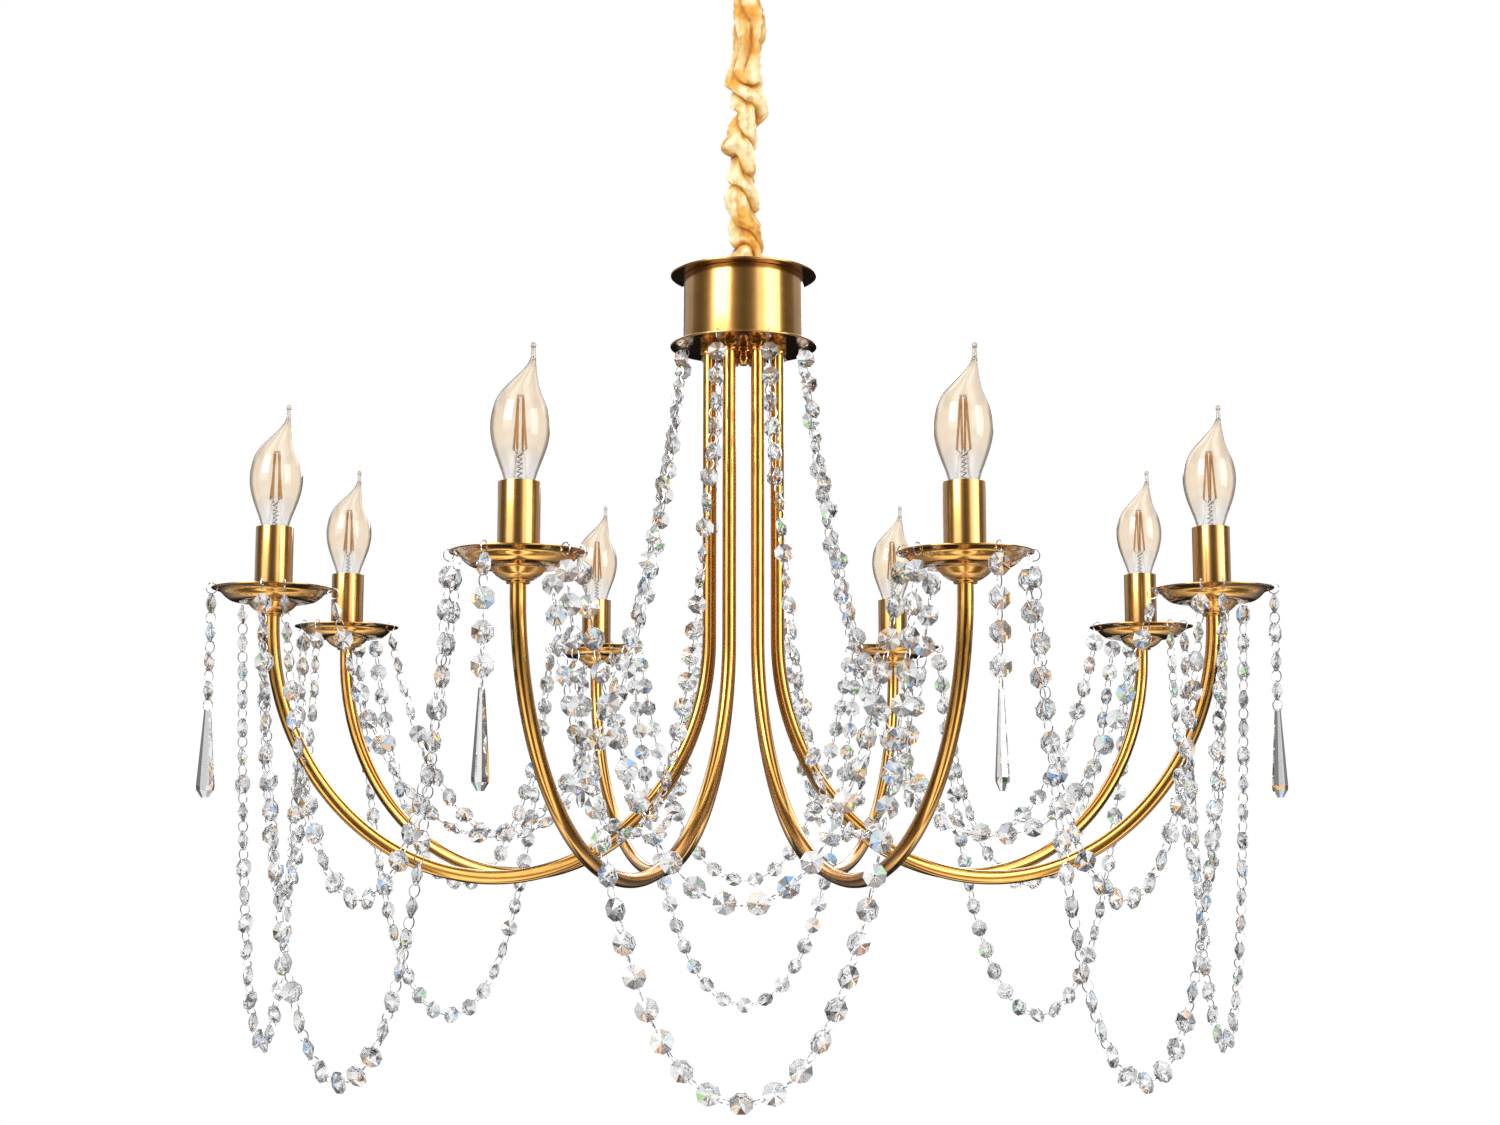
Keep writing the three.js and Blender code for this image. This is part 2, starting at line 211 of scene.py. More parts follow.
def lathe(profile, segments, closed=True):
    """A surface of revolution about Z, from an anticlockwise outline in (radius, height)."""
    verts = []
    rings = []
    for radius, height in profile:
        count = segments if radius > 1e-7 else 1
        rings.append(list(range(len(verts), len(verts) + count)))
        verts += ring_points(radius, height, segments) if count > 1 else [Vector((0, 0, height))]
    pairs = list(zip(rings, rings[1:]))
    if closed:
        pairs.append((rings[-1], rings[0]))
    faces = []
    for low, high in pairs:
        if len(low) == 1 and len(high) == 1:
            continue
        for j in range(segments):
            k = (j + 1) % segments
            corners = [low[j % len(low)], low[k % len(low)],
                       high[k % len(high)], high[j % len(high)]]
            # A ring of one vertex on the axis makes triangles.
            faces.append(list(dict.fromkeys(corners)))
    return verts, faces


def filleted(outline, radius, steps=4):
    """Rounds each corner of a closed outline, except those on the axis."""
    made = []
    count = len(outline)
    for i, corner in enumerate(outline):
        here = Vector(corner)
        before = Vector(outline[i - 1]) - here
        after = Vector(outline[(i + 1) % count]) - here
        size = min(radius, before.length * 0.45, after.length * 0.45)
        if here.x < 1e-7 or size < 1e-7:
            made.append(tuple(here))
            continue
        start = here + before.normalized() * size
        end = here + after.normalized() * size
        for s in range(steps + 1):
            t = s / steps
            made.append(tuple(start * (1 - t) ** 2 + here * 2 * t * (1 - t) + end * t ** 2))
    return made


def frames_along(points, closed=False):
    """A tangent, a steady normal and a side vector at each point."""
    count = len(points)
    tangents = []
    for i in range(count):
        ahead = points[(i + 1) % count] if closed or i + 1 < count else points[i]
        behind = points[i - 1] if closed or i > 0 else points[i]
        tangents.append((ahead - behind).normalized())
    normal = tangents[0].orthogonal().normalized()
    frames = []
    for tangent in tangents:
        normal = (normal - tangent * normal.dot(tangent)).normalized()
        frames.append((tangent, normal, tangent.cross(normal)))
    return frames


def tube(points, radius, sides, closed=False):
    """A round tube along the points, with flat ends unless it is closed."""
    verts = []
    faces = []
    for point, (_, normal, side) in zip(points, frames_along(points, closed)):
        for j in range(sides):
            angle = 2 * math.pi * j / sides
            verts.append(point + (normal * math.cos(angle) + side * math.sin(angle)) * radius)
    count = len(points)
    for i in range(count if closed else count - 1):
        faces += band(i * sides, (i + 1) % count * sides, sides)
    if not closed:
        faces.append(list(range(sides))[::-1])
        faces.append([(count - 1) * sides + j for j in range(sides)])
    return verts, faces


def merged(parts):
    verts = []
    faces = []
    for part_verts, part_faces in parts:
        base = len(verts)
        verts += part_verts
        faces += [[base + i for i in face] for face in part_faces]
    return verts, faces


def moved(part, matrix):
    verts, faces = part
    return [matrix @ v for v in verts], faces


def eased(value, start, end):
    """A smooth step from 0 at start to 1 at end."""
    t = min(max((value - start) / (end - start), 0.0), 1.0)
    return t * t * (3 - 2 * t)


def arm_matrix(i):
    return Matrix.Rotation(FIRST_ARM + i * 2 * math.pi / ARM_COUNT, 4, "Z")


def pan_matrix(i, height=0.0):
    return arm_matrix(i) @ Matrix.Translation((ARM_CIRCLE, 0, height))


# ---- node helpers ----
def shader(name):
    material = bpy.data.materials.new(name)
    material.use_nodes = True
    tree = material.node_tree
    return material, tree, tree.nodes["Principled BSDF"]


def add_node(tree, kind, **values):
    made = tree.nodes.new(kind)
    for key, value in values.items():
        if key in made.inputs:
            made.inputs[key].default_value = value
        else:
            setattr(made, key, value)
    return made


def feed(tree, socket, value):
    """Links another node's output to a socket, or sets a plain value on it."""
    if isinstance(value, bpy.types.NodeSocket):
        tree.links.new(value, socket)
    else:
        socket.default_value = value


def fill(tree, node, values):
    for name, value in values.items():
        feed(tree, node.inputs[name], value)


def rgba(color):
    """An opaque colour, from red, green and blue or from one number for a grey."""
    return (color,) * 3 + (1,) if isinstance(color, (int, float)) else color + (1,)


def noise_field(tree, scale, stretch=(1, 1, 1), detail=4.0):
    where = add_node(tree, "ShaderNodeTexCoord")
    mapping = add_node(tree, "ShaderNodeMapping")
    mapping.inputs["Scale"].default_value = stretch
    field = add_node(tree, "ShaderNodeTexNoise", Scale=scale, Detail=detail)
    tree.links.new(where.outputs["Object"], mapping.inputs["Vector"])
    tree.links.new(mapping.outputs["Vector"], field.inputs["Vector"])
    return field.outputs["Fac"]


def ramp(tree, fac, *stops):
    """A colour ramp through two or more stops, each a position and a colour or a grey."""
    made = add_node(tree, "ShaderNodeValToRGB")
    elements = made.color_ramp.elements
    for element, (position, color) in ((elements[0], stops[0]), (elements[1], stops[-1])):
        element.position = position
        element.color = rgba(color)
    for position, color in stops[1:-1]:
        elements.new(position).color = rgba(color)
    tree.links.new(fac, made.inputs["Fac"])
    return made.outputs["Color"]


def multiplied(tree, first, second):
    made = add_node(tree, "ShaderNodeMix", data_type="RGBA", blend_type="MULTIPLY")
    made.inputs["Factor"].default_value = 1.0
    # Sockets 6 and 7 are the two colours, and output 2 is the colour result.
    tree.links.new(first, made.inputs[6])
    tree.links.new(second, made.inputs[7])
    return made.outputs[2]


def math_node(tree, operation, first, second=0.0):
    made = add_node(tree, "ShaderNodeMath", operation=operation)
    feed(tree, made.inputs[0], first)
    feed(tree, made.inputs[1], second)
    return made.outputs[0]


def map_range(tree, value, start, end, to_start=0.0, to_end=1.0):
    made = add_node(tree, "ShaderNodeMapRange")
    fill(tree, made, {
        "Value": value, "From Min": start, "From Max": end, "To Min": to_start, "To Max": to_end,
    })
    return made.outputs["Result"]


def coordinates(tree, kind):
    """The X, Y and Z outputs of a texture coordinate."""
    where = add_node(tree, "ShaderNodeTexCoord")
    split = add_node(tree, "ShaderNodeSeparateXYZ")
    tree.links.new(where.outputs[kind], split.inputs["Vector"])
    return split.outputs


def bump(tree, principled, height, strength, distance):
    made = add_node(tree, "ShaderNodeBump", Strength=strength, Distance=distance)
    tree.links.new(height, made.inputs["Height"])
    tree.links.new(made.outputs["Normal"], principled.inputs["Normal"])


# ---- materials ----
def brass(name, lines, shine, grain_depth, lacquer):
    """Lacquered antique brass.

    lines is the stretch of its brushed grain, and lacquer is the coat's IOR.
    """
    material, tree, principled = shader(name)
    patina = noise_field(tree, scale=55.0)
    grain = noise_field(tree, scale=40.0, stretch=lines, detail=6.0)
    fill(tree, principled, {
        "Metallic": 1.0,
        "Base Color": ramp(tree, patina, (0.3, (0.56, 0.26, 0.03)), (0.7, (0.65, 0.32, 0.05))),
        "Roughness": ramp(tree, grain, (0.25, shine - 0.05), (0.75, shine + 0.08)),
        "Coat Weight": 1.0, "Coat Roughness": 0.12, "Coat IOR": lacquer,
    })
    bump(tree, principled, grain, grain_depth, 0.0002)
    return material


def plain_metal(name, color, shine):
    material, tree, principled = shader(name)
    grain = noise_field(tree, scale=90.0)
    worn = tuple(c * 0.8 for c in color)
    fill(tree, principled, {
        "Metallic": 1.0,
        "Base Color": ramp(tree, grain, (0.3, worn), (0.7, color)),
        "Roughness": ramp(tree, grain, (0.3, shine), (0.7, shine + 0.12)),
    })
    return material


def crystal():
    """Cut glass. Each facet keeps a painted reflection of its own, a grey or a rare coloured
    glint, stored on the mesh.
    """
    material, tree, principled = shader("cut_crystal")
    facet = add_node(tree, "ShaderNodeAttribute", attribute_name="facet")
    # Painted reflections: facets from near black to white, and a few painted coloured glints.
    color = ramp(
        tree, facet.outputs["Fac"],
        (0.0, (0.07, 0.07, 0.08)), (0.12, (0.42, 0.42, 0.43)),
        (0.26, (0.92, 0.92, 0.93)), (0.92, 1),
        (0.93, (1.0, 0.42, 0.08)), (0.95, (1.0, 0.86, 0.6)),
        (0.96, (0.06, 0.35, 1.0)), (0.98, (0.6, 0.85, 1.0)), (1.0, (0.35, 0.9, 0.2)),
    )
    fill(tree, principled, {
        "Base Color": color, "Roughness": 0.02, "IOR": 1.6, "Transmission Weight": 0.93,
        "Coat Weight": 0.6, "Coat Roughness": 0.02,
    })
    return material


def amber_glass():
    """Peach glass, clear near the cap and denser at the tip, with painted shade that darkens it
    where it is seen edge on.
    """
    material, tree, principled = shader("amber_glass")
    level = coordinates(tree, "Object")["Z"]
    height = map_range(tree, level, COVER_TOP + 4 * MM, COVER_TOP + 88 * MM)
    peach = (0.98, 0.905, 0.8)
    tint = ramp(tree, height, (0.0, (0.97, 0.97, 0.975)), (0.26, peach), (0.78, peach),
                (0.9, (0.7, 0.62, 0.55)))
    film = ramp(tree, noise_field(tree, scale=12.0), (0.3, (0.97, 0.96, 0.95)), (0.7, 1))
    facing = add_node(tree, "ShaderNodeLayerWeight", Blend=0.5).outputs["Facing"]
    # Painted shade: the base colour darkens towards the silhouette.
    painted_edge_shade = ramp(tree, facing, (0.0, 1), (0.5, (0.98, 0.96, 0.94)), (0.66, (0.5, 0.46, 0.42)),
                (0.8, (0.1, 0.09, 0.08)))
    fill(tree, principled, {
        "Base Color": multiplied(tree, multiplied(tree, tint, film), painted_edge_shade),
        "Roughness": 0.01, "IOR": 1.6,
        "Specular IOR Level": ramp(tree, facing, (0.0, 1), (0.3, 1), (0.5, 0.5), (0.7, 0.12)),
        "Transmission Weight": ramp(tree, facing, (0.0, 1), (0.58, 1), (0.76, 0.35), (1.0, 0.15)),
    })
    return material


def clear_glass():
    """The stem inside a bulb."""
    material, tree, principled = shader("clear_glass")
    film = noise_field(tree, scale=20.0)
    fill(tree, principled, {
        "Base Color": ramp(tree, film, (0.3, (0.94, 0.95, 0.96)), (0.7, 1)),
        "Roughness": 0.03, "Transmission Weight": 1.0,
    })
    return material


def matte(name, dark, light, scale, roughness):
    material, tree, principled = shader(name)
    field = noise_field(tree, scale)
    color = ramp(tree, field, (0.3, dark), (0.7, light))
    fill(tree, principled, {"Base Color": color, "Roughness": roughness})
    bump(tree, principled, field, 0.2, 0.0002)
    return material


def silk():
    """Golden satin with painted shade, deep amber, in the valleys of its folds, and fine crosswise
    threads.
    """
    material, tree, principled = shader("ruched_silk")
    ridge = add_node(tree, "ShaderNodeAttribute", attribute_name="ridge")
    # Painted shade: the lower the ridge value, the darker and more amber the cloth.
    depth = ramp(tree, ridge.outputs["Fac"], (0.0, (0.32, 0.1, 0.005)), (0.28, (0.6, 0.28, 0.02)),
                 (0.52, (0.86, 0.6, 0.22)), (0.8, (0.97, 0.82, 0.5)))
    streaks = noise_field(tree, scale=170.0, stretch=(1, 1, 0.16), detail=6.0)
    tone = ramp(tree, streaks, (0.34, (0.74, 0.6, 0.36)), (0.54, 1))
    clouds = noise_field(tree, scale=42.0, detail=2.0)
    patch = ramp(tree, clouds, (0.38, (0.86, 0.56, 0.14)), (0.5, 1))
    fill(tree, principled, {
        "Base Color": multiplied(tree, multiplied(tree, depth, tone), patch),
        "Roughness": 0.42, "Sheen Weight": 0.15, "Sheen Roughness": 0.35,
    })
    threads = noise_field(tree, scale=500.0, stretch=(1, 1, 6), detail=2.0)
    bump(tree, principled, threads, 0.5, 0.0004)
    return material


BRUSHED = brass("brushed_brass", lines=(1, 1, 60), shine=0.18, grain_depth=0.06, lacquer=1.8)
SATIN = brass("satin_brass", lines=(1, 1, 1), shine=0.15, grain_depth=0.02, lacquer=1.5)
SILVER_WIRE = plain_metal("silver_wire", (0.78, 0.78, 0.8), shine=0.12)
STEEL = plain_metal("plated_steel", (0.62, 0.63, 0.66), shine=0.3)
FILAMENT = matte("amber_filament", (0.66, 0.34, 0.09), (0.85, 0.52, 0.2), 300.0, 0.5)
HOLDER_PLASTIC = matte("holder_plastic", (0.86, 0.84, 0.78), (0.93, 0.91, 0.86), 80.0, 0.45)
CABLE_SKIN = matte("cable_skin", (0.7, 0.6, 0.42), (0.8, 0.7, 0.5), 200.0, 0.55)
CRYSTAL = crystal()
AMBER = amber_glass()
CLEAR = clear_glass()
SILK = silk()


# ---- hanging strings of beads ----
def hanging_curve(start, end, lowest):
    """Points-by-arc-length function and length of a chain between two points."""
    across = Vector((end.x - start.x, end.y - start.y, 0))
    span = across.length
    across.normalize()

    def reach(a):
        rises = (start.z - lowest, end.z - lowest)
        return a * (math.acosh(1 + rises[0] / a) + math.acosh(1 + rises[1] / a))

    # Halve the range of the curve's scale until the curve spans the gap.
    low, high = 1e-4, 100.0
    for _ in range(80):
        middle = math.sqrt(low * high)
        if reach(middle) < span:
            low = middle
        else:
            high = middle
    a = low
    left = a * math.acosh(1 + (start.z - lowest) / a)
    arc_start = -a * math.sinh(left / a)
    arc_end = a * math.sinh((span - left) / a)

    def at(distance):
        along = a * math.asinh((arc_start + distance) / a)
        flat = start + across * (along + left)
        return Vector((flat.x, flat.y, lowest + a * (math.cosh(along / a) - 1)))

    return at, arc_end - arc_start


def bead_shape():
    """A two-hole octagon: a thin girdle, with eight wedge facets and a tiny table on each side."""
    levels = [
        (BEAD_RADIUS * TABLE_SHARE, -BEAD_HALF), (BEAD_RADIUS, -BEAD_HALF * GIRDLE_SHARE),
        (BEAD_RADIUS, BEAD_HALF * GIRDLE_SHARE), (BEAD_RADIUS * TABLE_SHARE, BEAD_HALF),
    ]
    verts = []
    for radius, height in levels:
        verts += [polar(radius, 2 * math.pi * (j + 0.5) / SIDES, height) for j in range(SIDES)]
    last = 3 * SIDES
    faces = [list(range(SIDES))[::-1], list(range(last, last + SIDES))]
    for low in range(0, last, SIDES):
        faces += band(low, low + SIDES, SIDES)
    return verts, faces


def prism_shape():
    """A long flattened octagonal drop that hangs along -Y and widens to a blunt end."""
    # Half width and height, in millimetres.
    levels = [(2.0, 0.0), (2.5, -1.2), (6.5, -52.0), (6.2, -55.0), (2.6, -60.0)]
    verts = []
    for radius, height in levels:
        for j in range(SIDES):
            angle = 2 * math.pi * (j + 0.5) / SIDES
            depth = PRISM_DEPTH_SHARE * radius * math.sin(angle)
            verts.append(Vector((radius * math.cos(angle), height, depth)) * MM)
    last = 4 * SIDES
    faces = [list(range(SIDES)), list(range(last, last + SIDES))[::-1]]
    for low in range(0, last, SIDES):
        faces += band(low + SIDES, low, SIDES)
    return verts, faces


def wire_ring(radius, stretch=1.0):
    """A wire ring in the YZ plane, longer along Y by stretch."""
    count = 14
    points = []
    for i in range(count):
        angle = 2 * math.pi * i / count
        points.append(Vector((0, radius * stretch * math.cos(angle), radius * math.sin(angle))))
    return tube(points, RING_WIRE, 5, closed=True)


BEAD = bead_shape()
PRISM = prism_shape()
HOLE_RING = wire_ring(RING_RADIUS)
LINK_RING = wire_ring(LINK_RADIUS, LINK_STRETCH)


def basis(along, facing, at):
    """A matrix that takes Y to along and Z as near to facing as it can."""
    z = (facing - along * facing.dot(along)).normalized()
    x = along.cross(z)
    return Matrix.Translation(at) @ Matrix((x, along, z)).transposed().to_4x4()


def painted_facet_glints(piece, seed):
    """Gives each flat facet a painted reflection tone, which the crystal material reads. Large
    facets stay grey.
    """
    dice = random.Random(seed)
    attribute = piece.data.attributes.new("facet", "FLOAT", "FACE")
    for item, facet in zip(attribute.data, piece.data.polygons):
        large = facet.area > LARGE_FACET
        item.value = dice.uniform(0.12, 0.26) if large else dice.random()


def bead_string(start, end, lowest, facing, dice, twist):
    """Beads at an even pitch on a hanging curve, and the wire rings that join them."""
    at, length = hanging_curve(start, end, lowest)
    count = round(length / BEAD_PITCH)
    pitch = length / count
    beads = []
    rings = []
    normals = []
    for i in range(count):
        centre = at((i + 0.5) * pitch)
        along = (at((i + 0.6) * pitch) - at((i + 0.4) * pitch)).normalized()
        turn = Matrix.Rotation(math.radians(dice.uniform(-twist, twist)), 3, along)
        normals.append(turn @ facing)
        beads.append(moved(BEAD, basis(along, normals[-1], centre)))
    for i in range(1, count):
        joint = i * pitch
        along = (at(joint + MM) - at(joint - MM)).normalized()
        rings.append(moved(LINK_RING, basis(along, normals[i] + normals[i - 1], at(joint))))
    return beads, rings


def upright_ring(i, from_outward, at):
    """A ring in the upright plane that faces sideways from an arm's outward direction."""
    turn = arm_matrix(i) @ Matrix.Rotation(from_outward - math.pi / 2, 4, "Z")
    return moved(HOLE_RING, Matrix.Translation(at) @ turn)


def rim_ring(i, from_outward):
    """The ring through a hole in a pan's rim, and the point that hangs under it."""
    to_hole = Matrix.Rotation(from_outward, 4, "Z") @ Vector((PAN_RADIUS, 0, RIM - RING_DROP))
    centre = pan_matrix(i) @ to_hole
    below = centre - Vector((0, 0, RING_RADIUS - RING_WIRE))
    return upright_ring(i, from_outward, centre), below


def crystal_pieces(name, beads, rings, body, seed, node):
    glass = mesh_object(f"{name}_beads", merged(beads), CRYSTAL, sharp=None)
    painted_facet_glints(glass, seed)
    place(glass, body, "crystal", node)
    wires = mesh_object(f"{name}_rings", merged(rings), SILVER_WIRE)
    place(wires, body, "plated_steel")


def swags(i):
    """The upper and the lower swag from one pan to the next."""
    dice = random.Random(SWAG_SEED + i)
    beads = []
    rings = []
    for hole, lowest in ((UPPER_HOLE, UPPER_SWAG_LOW), (LOWER_HOLE, LOWER_SWAG_LOW)):
        first_ring, start = rim_ring(i, hole)
        last_ring, end = rim_ring((i + 1) % ARM_COUNT, -hole)
        middle = start + end
        facing = Vector((middle.x, middle.y, 0)).normalized()
        made_beads, made_rings = bead_string(start, end, lowest, facing, dice, SWAG_TWIST)
        beads += made_beads
        rings += made_rings + [first_ring, last_ring]
    crystal_pieces(f"swag_{i + 1}", beads, rings, "fixture", SWAG_FACETS + i, f"swags_{i + 1}")


def hub_strands():
    """One strand from the hub's lower plate to the inner side of each pan."""
    dice = random.Random(STRAND_SEED)
    beads = []
    rings = []
    for i in range(ARM_COUNT):
        top = arm_matrix(i) @ Vector((HUB_HOLE_CIRCLE, 0, BOTTOM_PLATE_UNDER + 0.5 * MM))
        last_ring, end = rim_ring(i, math.pi)
        rings += [upright_ring(i, 0.0, top), last_ring]
        side = arm_matrix(i) @ Vector((0, 1, 0))
        start = top - Vector((0, 0, RING_RADIUS))
        made_beads, made_rings = bead_string(start, end, HUB_STRAND_LOW, side, dice, STRAND_TWIST)
        beads += made_beads
        rings += made_rings
    crystal_pieces("hub_strand", beads, rings, "fixture", STRAND_FACETS, "hub_strands")


def pendant(i):
    """Four beads and a prism under the outer hole of a pan."""
    dice = random.Random(PENDANT_SEED + i)
    first_ring, top = rim_ring(i, 0.0)
    rings = [first_ring]
    beads = []
    down = Vector((0, 0, -1))
    facing = arm_matrix(i) @ Vector((1, 0, 0))
    for b in range(PENDANT_BEADS):
        degrees = dice.uniform(-PENDANT_TWIST, PENDANT_TWIST)
        turn = Matrix.Rotation(math.radians(degrees), 3, "Z")
        centre = top + down * (BEAD_RADIUS + b * BEAD_PITCH)
        beads.append(moved(BEAD, basis(down, turn @ facing, centre)))
        below = centre + down * BEAD_PITCH / 2
        rings.append(moved(LINK_RING, basis(down, turn @ facing, below)))
    prism_top = top + down * (PENDANT_BEADS * BEAD_PITCH)
    turn = Matrix.Rotation(math.radians(dice.uniform(*PRISM_TURN)), 3, "Z")
    beads.append(moved(PRISM, basis(-down, turn @ facing, prism_top)))
    name = f"pendant_{i + 1}"
    crystal_pieces(name, beads, rings, f"hanger_{i + 1}", PENDANT_FACETS + i, name)


# ---- arms, pans and candles ----
def arm_path():
    """Down from the hub, round a half ellipse and up into the pan."""
    turn_height = PAN_BOTTOM - 3 * MM
    half = (ARM_CIRCLE - ARM_ROOT_CIRCLE) / 2
    depth = turn_height - ARM_BOTTOM
    points = [
        Vector((ARM_ROOT_CIRCLE, 0, BOTTOM_PLATE + 9 * MM)),
        Vector((ARM_ROOT_CIRCLE, 0, ARM_BEND_FROM)),
    ]
    for s in range(ARM_STEPS + 1):
        angle = math.pi * s / ARM_STEPS
        x = ARM_ROOT_CIRCLE + half * (1 - math.cos(angle))
        points.append(Vector((x, 0, turn_height - depth * math.sin(angle))))
    points.append(Vector((ARM_CIRCLE, 0, PAN_BOTTOM + 6 * MM)))
    return points


def hexagon(radius, low, high):
    verts = ring_points(radius, low, 6) + ring_points(radius, high, 6)
    return verts, [list(range(6))[::-1], list(range(6, 12))] + band(0, 6, 6)


def arm(i):
    """An arm's tube, and the nut and collar under the hub that hold it."""
    made = moved(tube(arm_path(), ARM_RADIUS, 28), arm_matrix(i))
    brass_piece(f"arm_tube_{i + 1}", made, SATIN, f"arm_{i + 1}")
    root = arm_matrix(i) @ Matrix.Translation((ARM_ROOT_CIRCLE, 0, BOTTOM_PLATE_UNDER))
    made = moved(hexagon(7.6 * MM, -4.2 * MM, -0.2 * MM), root)
    nut = mesh_object(f"arm_nut_{i + 1}", made, SATIN, sharp=20)
    edges = nut.modifiers.new("soft_edges", "BEVEL")
    edges.width = 0.4 * MM
    edges.segments = 2
    edges.limit_method = "ANGLE"
    place(nut, "fixture", "antique_brass")
    outline = [(4.9, -8.4), (6.2, -8.4), (7.0, -7.2), (7.0, -5.8), (6.4, -4.4), (4.9, -4.4)]
    collar = lathe(filleted(in_mm(outline), 0.5 * MM), 32)
    brass_piece(f"arm_collar_{i + 1}", moved(collar, root), SATIN)


def pan_mesh():
    """The stepped bowl with its rolled rim and six punched holes, about its own rim centre."""
    under = [
        (5.6, -19.5), (7.4, -19.5), (7.4, -17.6), (9.6, -17.2), (13.6, -14.6), (16.6, -11.4),
        (17.6, -10.3), (25.0, -10.0), (29.5, -8.8), (33.2, -6.0), (35.6, -3.2), (38.6, -1.9),
        (42.0, -0.9),
    ]
    over = [
        (42.0, 0.0), (38.3, -1.0), (35.0, -2.3), (32.6, -5.0), (29.2, -7.8), (24.8, -9.0),
        (17.0, -9.3), (15.9, -10.9), (13.1, -13.8), (9.2, -16.2), (5.6, -16.4),
    ]
    outline = filleted(in_mm(under + over), 1.4 * MM, 3)
    bowl = mesh_object("pan_blank", lathe(outline, 96), BRUSHED)
    low, high = -6 * MM, 3 * MM
    pin = [(0, low), (HOLE_RADIUS, low), (HOLE_RADIUS, high), (0, high)]
    punches = []
    for degrees in HOLE_DEGREES:
        turn = Matrix.Rotation(math.radians(degrees), 4, "Z")
        to_hole = turn @ Matrix.Translation((HOLE_CIRCLE, 0, 0))
        punches.append(moved(lathe(pin, 14, closed=False), to_hole))
    tool = mesh_object("pan_punches", merged(punches), BRUSHED)
    cut = bowl.modifiers.new("holes", "BOOLEAN")
    cut.object = tool
    cut.solver = "EXACT"
    punched = bowl.evaluated_get(bpy.context.evaluated_depsgraph_get())
    made = bpy.data.meshes.new_from_object(punched)
    verts = [v.co.copy() for v in made.vertices]
    faces = [list(p.vertices) for p in made.polygons]
    for spare in (bowl, tool):
        bpy.data.objects.remove(spare)
    return verts, faces


def candle(i, pan):
    """A pan, the candle cover that stands in it and the lamp holder inside the cover."""
    bowl = moved(pan, pan_matrix(i, RIM))
    brass_piece(f"drip_pan_fine_{i + 1}", bowl, SATIN, f"drip_pan_{i + 1}")
    inner = COVER_RADIUS - SHEET
    outline = [
        (inner, COVER_BOTTOM), (COVER_RADIUS, COVER_BOTTOM), (COVER_RADIUS, COVER_TOP),
        (inner, COVER_TOP),
    ]
    cover = moved(lathe(filleted(outline, 0.35 * MM, 3), 64), pan_matrix(i))
    brass_piece(f"candle_cover_fine_{i + 1}", cover, BRUSHED, f"candle_cover_{i + 1}")
    top = COVER_TOP - 1.5 * MM
    low = PAN_BOTTOM + 8 * MM
    stem, socket, bore = 6.5 * MM, 11.2 * MM, 8.6 * MM
    outline = [
        (0, low), (stem, low), (stem, low + 12 * MM), (socket, low + 16 * MM), (socket, top),
        (bore, top), (bore, low + 24 * MM), (0, low + 24 * MM),
    ]
    holder = lathe(filleted(outline, 0.5 * MM, 2), 40, closed=False)
    brass_piece(f"lamp_holder_{i + 1}", moved(holder, pan_matrix(i)), HOLDER_PLASTIC)


# ---- bulbs ----
# Radius and height above the cover's top, in millimetres.
GLASS_OUTLINE = [
    (7.0, -3.0), (9.2, 0.4), (10.9, 6.0), (13.7, 13.5), (16.3, 21.0), (17.8, 28.0), (18.3, 34.0),
    (17.8, 40.5), (16.2, 47.5), (13.2, 54.5), (9.3, 61.0), (5.5, 67.5), (2.9, 73.0), (1.8, 77.0),
    (1.4, 81.0), (1.4, 83.4), (1.75, 84.8), (1.6, 86.1), (0.9, 86.8), (0.0, 87.0),
]


def smooth_outline(points, steps):
    """A Catmull-Rom curve through the points."""
    made = []
    last = len(points) - 1
    for i in range(last):
        p0, p1, p2, p3 = (Vector(points[min(max(i + d, 0), last)]) for d in (-1, 0, 1, 2))
        for s in range(steps):
            t = s / steps
            made.append(0.5 * (2 * p1 + (p2 - p0) * t + (2 * p0 - 5 * p1 + 4 * p2 - p3) * t * t
                               + (3 * p1 - p0 - 3 * p2 + p3) * t ** 3))
    made.append(Vector(points[-1]))
    return [(max(p.x, 0.0), p.y) for p in made]


def leaned(part):
    """Curls the flame tip towards +X."""
    verts, faces = part
    made = []
    for v in verts:
        bend = eased(v.z, TIP_BEND_FROM, TIP_BEND_TO)
        made.append(v + Vector((TIP_BEND * bend, 0, 0)))
    return made, faces


def glass_shell():
    """The bulb's outer and inner walls, closed round the base by a flat ring."""
    outer = smooth_outline(GLASS_OUTLINE, 3)
    inner = [(r - GLASS_WALL, z) for r, z in outer if z < HOLLOW_TO] + [(0.0, HOLLOW_TIP)]
    walls = [leaned(lathe(in_mm(wall), GLASS_SEGMENTS, False)) for wall in (outer, inner[::-1])]
    verts, faces = merged(walls)
    return verts, faces + band(len(verts) - GLASS_SEGMENTS, 0, GLASS_SEGMENTS)


